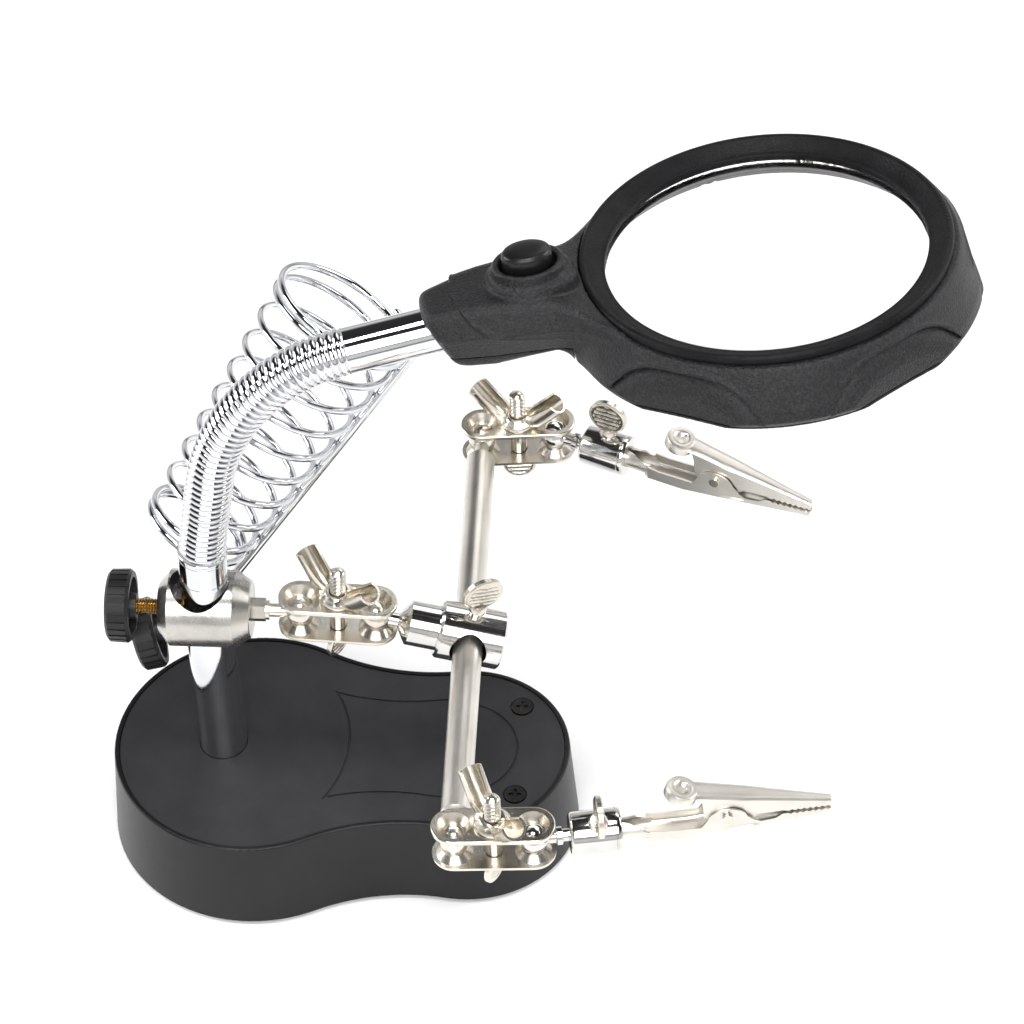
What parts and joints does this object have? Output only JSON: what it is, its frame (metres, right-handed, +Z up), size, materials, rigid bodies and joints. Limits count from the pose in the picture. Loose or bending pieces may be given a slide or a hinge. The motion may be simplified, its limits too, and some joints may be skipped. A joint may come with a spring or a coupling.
{
  "type": "helping hands clamp",
  "caption": "Bench helping-hands stand: weighted base, gooseneck lamp magnifier, coiled soldering-iron holder and sprung clips on ball-jointed arms.",
  "frame": {"origin": "where the post's axis meets the underside of the base's rubber pad", "axes": "+X along the base from the post towards the arms, +Y away from the front arm, +Z up the post"},
  "size_m": [0.2535, 0.186, 0.2134],
  "materials": {
    "spark_plastic": "fine spark texture",
    "base_plastic": "satin",
    "bezel_plastic": "semi-gloss",
    "knob_plastic": "matte",
    "box_plastic": "matte",
    "rubber": "matte",
    "ballast_iron": "as cast",
    "chrome": "polished",
    "bright_nickel": "bright",
    "warm_nickel": "plated, half bright",
    "die_cast": "satin, speckled",
    "brass": "turned",
    "black_steel": "black oxide",
    "spring_steel": "bright",
    "lens_glass": "clear",
    "board": "solder mask",
    "led_clear": "clear",
    "cell_wrap": "printed sleeve, plain"
  },
  "bodies": {
    "base": {"base_tub": "base_plastic", "base_top_cover": "base_plastic", "base_cover_screws": "black_steel", "base_rubber_pad": "rubber", "base_ballast_weight": "ballast_iron", "battery_box": "box_plastic", "battery_cells": "cell_wrap", "battery_door": "box_plastic", "battery_door_screw": "black_steel", "post_tube": "chrome", "post_bolt": "spring_steel"},
    "hose_1": {"gooseneck_hose_1": "chrome"},
    "hose_2": {"gooseneck_hose_2": "chrome"},
    "hose_3": {"gooseneck_hose_3": "chrome"},
    "hose_4": {"gooseneck_hose_4": "chrome"},
    "neck_tube": {"neck_tube": "chrome"},
    "head": {"head_top_shell": "spark_plastic", "head_bottom_shell": "spark_plastic", "head_screws": "black_steel", "lens_bezel": "bezel_plastic", "magnifier_lens": "lens_glass", "lamp_board": "board", "lamp_leds": "led_clear", "lamp_switch": "box_plastic"},
    "lamp_button": {"lamp_button": "bezel_plastic"},
    "arm_clamp": {"arm_clamp": "die_cast", "arm_stem": "warm_nickel"},
    "post_knob": {"post_knob": "knob_plastic", "post_knob_screw": "brass"},
    "stand_knob": {"stand_knob": "knob_plastic", "stand_knob_screw": "spring_steel"},
    "iron_stand": {"iron_stand_coil": "chrome", "iron_stand_rod": "chrome"},
    "mid_joint": {"mid_joint_plates": "warm_nickel", "mid_joint_screw": "warm_nickel"},
    "mid_wing_nut": {"mid_wing_nut": "warm_nickel"},
    "rod_clamp_ball": {"rod_clamp_ball": "warm_nickel"},
    "rod_clamp": {"rod_clamp": "bright_nickel"},
    "rod_thumb_screw": {"rod_thumb_screw": "warm_nickel"},
    "cross_rod": {"cross_rod": "warm_nickel"},
    "front_rod_ball": {"front_rod_ball": "warm_nickel"},
    "front_joint": {"front_joint_plates": "warm_nickel", "front_joint_screw": "warm_nickel"},
    "front_wing_nut": {"front_wing_nut": "warm_nickel"},
    "front_socket": {"front_clip_socket": "bright_nickel"},
    "front_thumb_screw": {"front_thumb_screw": "warm_nickel"},
    "front_clip": {"front_clip_lower_jaw": "warm_nickel", "front_clip_pin": "warm_nickel", "front_clip_spring": "spring_steel"},
    "front_jaw": {"front_clip_upper_jaw": "warm_nickel"},
    "back_rod_ball": {"back_rod_ball": "warm_nickel"},
    "back_joint": {"back_joint_plates": "warm_nickel", "back_joint_screw": "warm_nickel"},
    "back_wing_nut": {"back_wing_nut": "warm_nickel"},
    "back_socket": {"back_clip_socket": "bright_nickel"},
    "back_thumb_screw": {"back_thumb_screw": "warm_nickel"},
    "back_clip": {"back_clip_lower_jaw": "warm_nickel", "back_clip_pin": "warm_nickel", "back_clip_spring": "spring_steel"},
    "back_jaw": {"back_clip_upper_jaw": "warm_nickel"}
  },
  "joints": [
    {"name": "neck_lean", "type": "hinge", "parent": "base", "child": "hose_1", "pos_m": [0, 0, 0.106], "axis": [-0.2436, 0.9699, 0], "range_deg": [-5, 4]},
    {"name": "neck_sway", "type": "hinge", "parent": "hose_1", "child": "hose_2", "pos_m": [0.00113, 0.00028, 0.12094], "axis": [-0.9582, -0.2407, 0.1547], "range_deg": [-12, 5]},
    {"name": "neck_bend_low", "type": "hinge", "parent": "hose_2", "child": "hose_3", "pos_m": [0.00492, 0.00124, 0.14431], "axis": [-0.2436, 0.9699, 0], "range_deg": [-5, 12]},
    {"name": "neck_bend_mid", "type": "hinge", "parent": "hose_3", "child": "hose_4", "pos_m": [0.01914, 0.00481, 0.17278], "axis": [-0.2436, 0.9699, 0], "range_deg": [-10, 10]},
    {"name": "neck_bend_top", "type": "hinge", "parent": "hose_4", "child": "neck_tube", "pos_m": [0.04363, 0.01096, 0.18551], "axis": [-0.2436, 0.9699, 0], "range_deg": [-10, 10]},
    {"name": "head_twist", "type": "hinge", "parent": "neck_tube", "child": "head", "pos_m": [0.06957, 0.01748, 0.18922], "axis": [0.9607, 0.2413, 0.1374], "range_deg": [-25, 25]},
    {"name": "lamp_button_press", "type": "slide", "parent": "head", "child": "lamp_button", "axis": [0.1, -0.1, -0.99], "range_m": [0, 0.0015], "stiffness_N_per_m": 900},
    {"name": "arm_clamp_turn", "type": "hinge", "parent": "base", "child": "arm_clamp", "pos_m": [0, 0, 0.0915], "axis": [0, 0, 1], "range_deg": [0, 60]},
    {"name": "post_knob_turn", "type": "hinge", "parent": "arm_clamp", "child": "post_knob", "pos_m": [-0.018, 0, 0.0915], "axis": [-1, 0, 0], "continuous": true},
    {"name": "stand_knob_turn", "type": "hinge", "parent": "arm_clamp", "child": "stand_knob", "pos_m": [-0.01584, 0.01422, 0.06602], "axis": [-0.9623, -0.1925, -0.1925], "continuous": true},
    {"name": "iron_stand_turn", "type": "hinge", "parent": "arm_clamp", "child": "iron_stand", "pos_m": [-0.00718, 0.01595, 0.06775], "axis": [-0.5912, -0.2454, -0.7683], "range_deg": [0, 60]},
    {"name": "mid_plates_turn", "type": "hinge", "parent": "arm_clamp", "child": "mid_joint", "pos_m": [0.027, 0, 0.0915], "axis": [0.0523, 0, 0.9986], "range_deg": [-20, 20]},
    {"name": "mid_wing_nut_turn", "type": "hinge", "parent": "mid_joint", "child": "mid_wing_nut", "pos_m": [0.0384, 0, 0.09891], "axis": [0.0523, 0, 0.9986], "continuous": true},
    {"name": "mid_far_ball_turn", "type": "hinge", "parent": "mid_joint", "child": "rod_clamp_ball", "pos_m": [0.04897, 0, 0.09035], "axis": [0.0523, 0, 0.9986], "range_deg": [-20, 20]},
    {"name": "rod_clamp_roll", "type": "hinge", "parent": "rod_clamp_ball", "child": "rod_clamp", "pos_m": [0.04897, 0, 0.09035], "axis": [0.9635, 0.0185, -0.2672], "range_deg": [-20, 20]},
    {"name": "rod_thumb_screw_turn", "type": "hinge", "parent": "rod_clamp", "child": "rod_thumb_screw", "pos_m": [0.07823, 0.00056, 0.09261], "axis": [0.2672, 0.0051, 0.9636], "continuous": true},
    {"name": "cross_rod_slide", "type": "slide", "parent": "rod_clamp", "child": "cross_rod", "axis": [-0.0192, 0.9998, 0], "range_m": [-0.03, 0.03]},
    {"name": "front_arm_pitch", "type": "hinge", "parent": "cross_rod", "child": "front_rod_ball", "pos_m": [0.07703, -0.07608, 0.08297], "axis": [-0.0192, 0.9998, 0], "range_deg": [-25, 25]},
    {"name": "front_plates_turn", "type": "hinge", "parent": "front_rod_ball", "child": "front_joint", "pos_m": [0.07703, -0.07608, 0.08297], "axis": [0, 0, 1], "range_deg": [-20, 20]},
    {"name": "front_wing_nut_turn", "type": "hinge", "parent": "front_joint", "child": "front_wing_nut", "pos_m": [0.08801, -0.0754, 0.09097], "axis": [0, 0, 1], "continuous": true},
    {"name": "front_far_ball_turn", "type": "hinge", "parent": "front_joint", "child": "front_socket", "pos_m": [0.09899, -0.07473, 0.08297], "axis": [0, 0, 1], "range_deg": [-20, 20]},
    {"name": "front_thumb_screw_turn", "type": "hinge", "parent": "front_socket", "child": "front_thumb_screw", "pos_m": [0.11709, -0.07462, 0.09028], "axis": [0.0755, -0.3997, 0.9135], "continuous": true},
    {"name": "front_clip_swivel", "type": "hinge", "parent": "front_socket", "child": "front_clip", "pos_m": [0.11864, -0.07102, 0.08297], "axis": [0.9826, 0.1857, 0], "continuous": true},
    {"name": "front_jaw_open", "type": "hinge", "parent": "front_clip", "child": "front_jaw", "pos_m": [0.15186, -0.06474, 0.08717], "axis": [0.1857, -0.9826, 0], "range_deg": [0, 25], "stiffness_Nm_per_rad": 0.05},
    {"name": "back_arm_pitch", "type": "hinge", "parent": "cross_rod", "child": "back_rod_ball", "pos_m": [0.07402, 0.0807, 0.08297], "axis": [-0.0192, 0.9998, 0], "range_deg": [-25, 25]},
    {"name": "back_plates_turn", "type": "hinge", "parent": "back_rod_ball", "child": "back_joint", "pos_m": [0.07402, 0.0807, 0.08297], "axis": [0, 0, 1], "range_deg": [-20, 20]},
    {"name": "back_wing_nut_turn", "type": "hinge", "parent": "back_joint", "child": "back_wing_nut", "pos_m": [0.08497, 0.08179, 0.09097], "axis": [0, 0, 1], "continuous": true},
    {"name": "back_far_ball_turn", "type": "hinge", "parent": "back_joint", "child": "back_socket", "pos_m": [0.09591, 0.08288, 0.08297], "axis": [0, 0, 1], "range_deg": [-20, 20]},
    {"name": "back_thumb_screw_turn", "type": "hinge", "parent": "back_socket", "child": "back_thumb_screw", "pos_m": [0.11261, 0.07671, 0.09097], "axis": [0, 0, 1], "continuous": true},
    {"name": "back_clip_swivel", "type": "hinge", "parent": "back_socket", "child": "back_clip", "pos_m": [0.11467, 0.07594, 0.08297], "axis": [0.9379, -0.3469, 0], "continuous": true},
    {"name": "back_jaw_open", "type": "hinge", "parent": "back_clip", "child": "back_jaw", "pos_m": [0.14637, 0.06422, 0.08717], "axis": [-0.3469, -0.9379, 0], "range_deg": [0, 25], "stiffness_Nm_per_rad": 0.05}
  ]
}
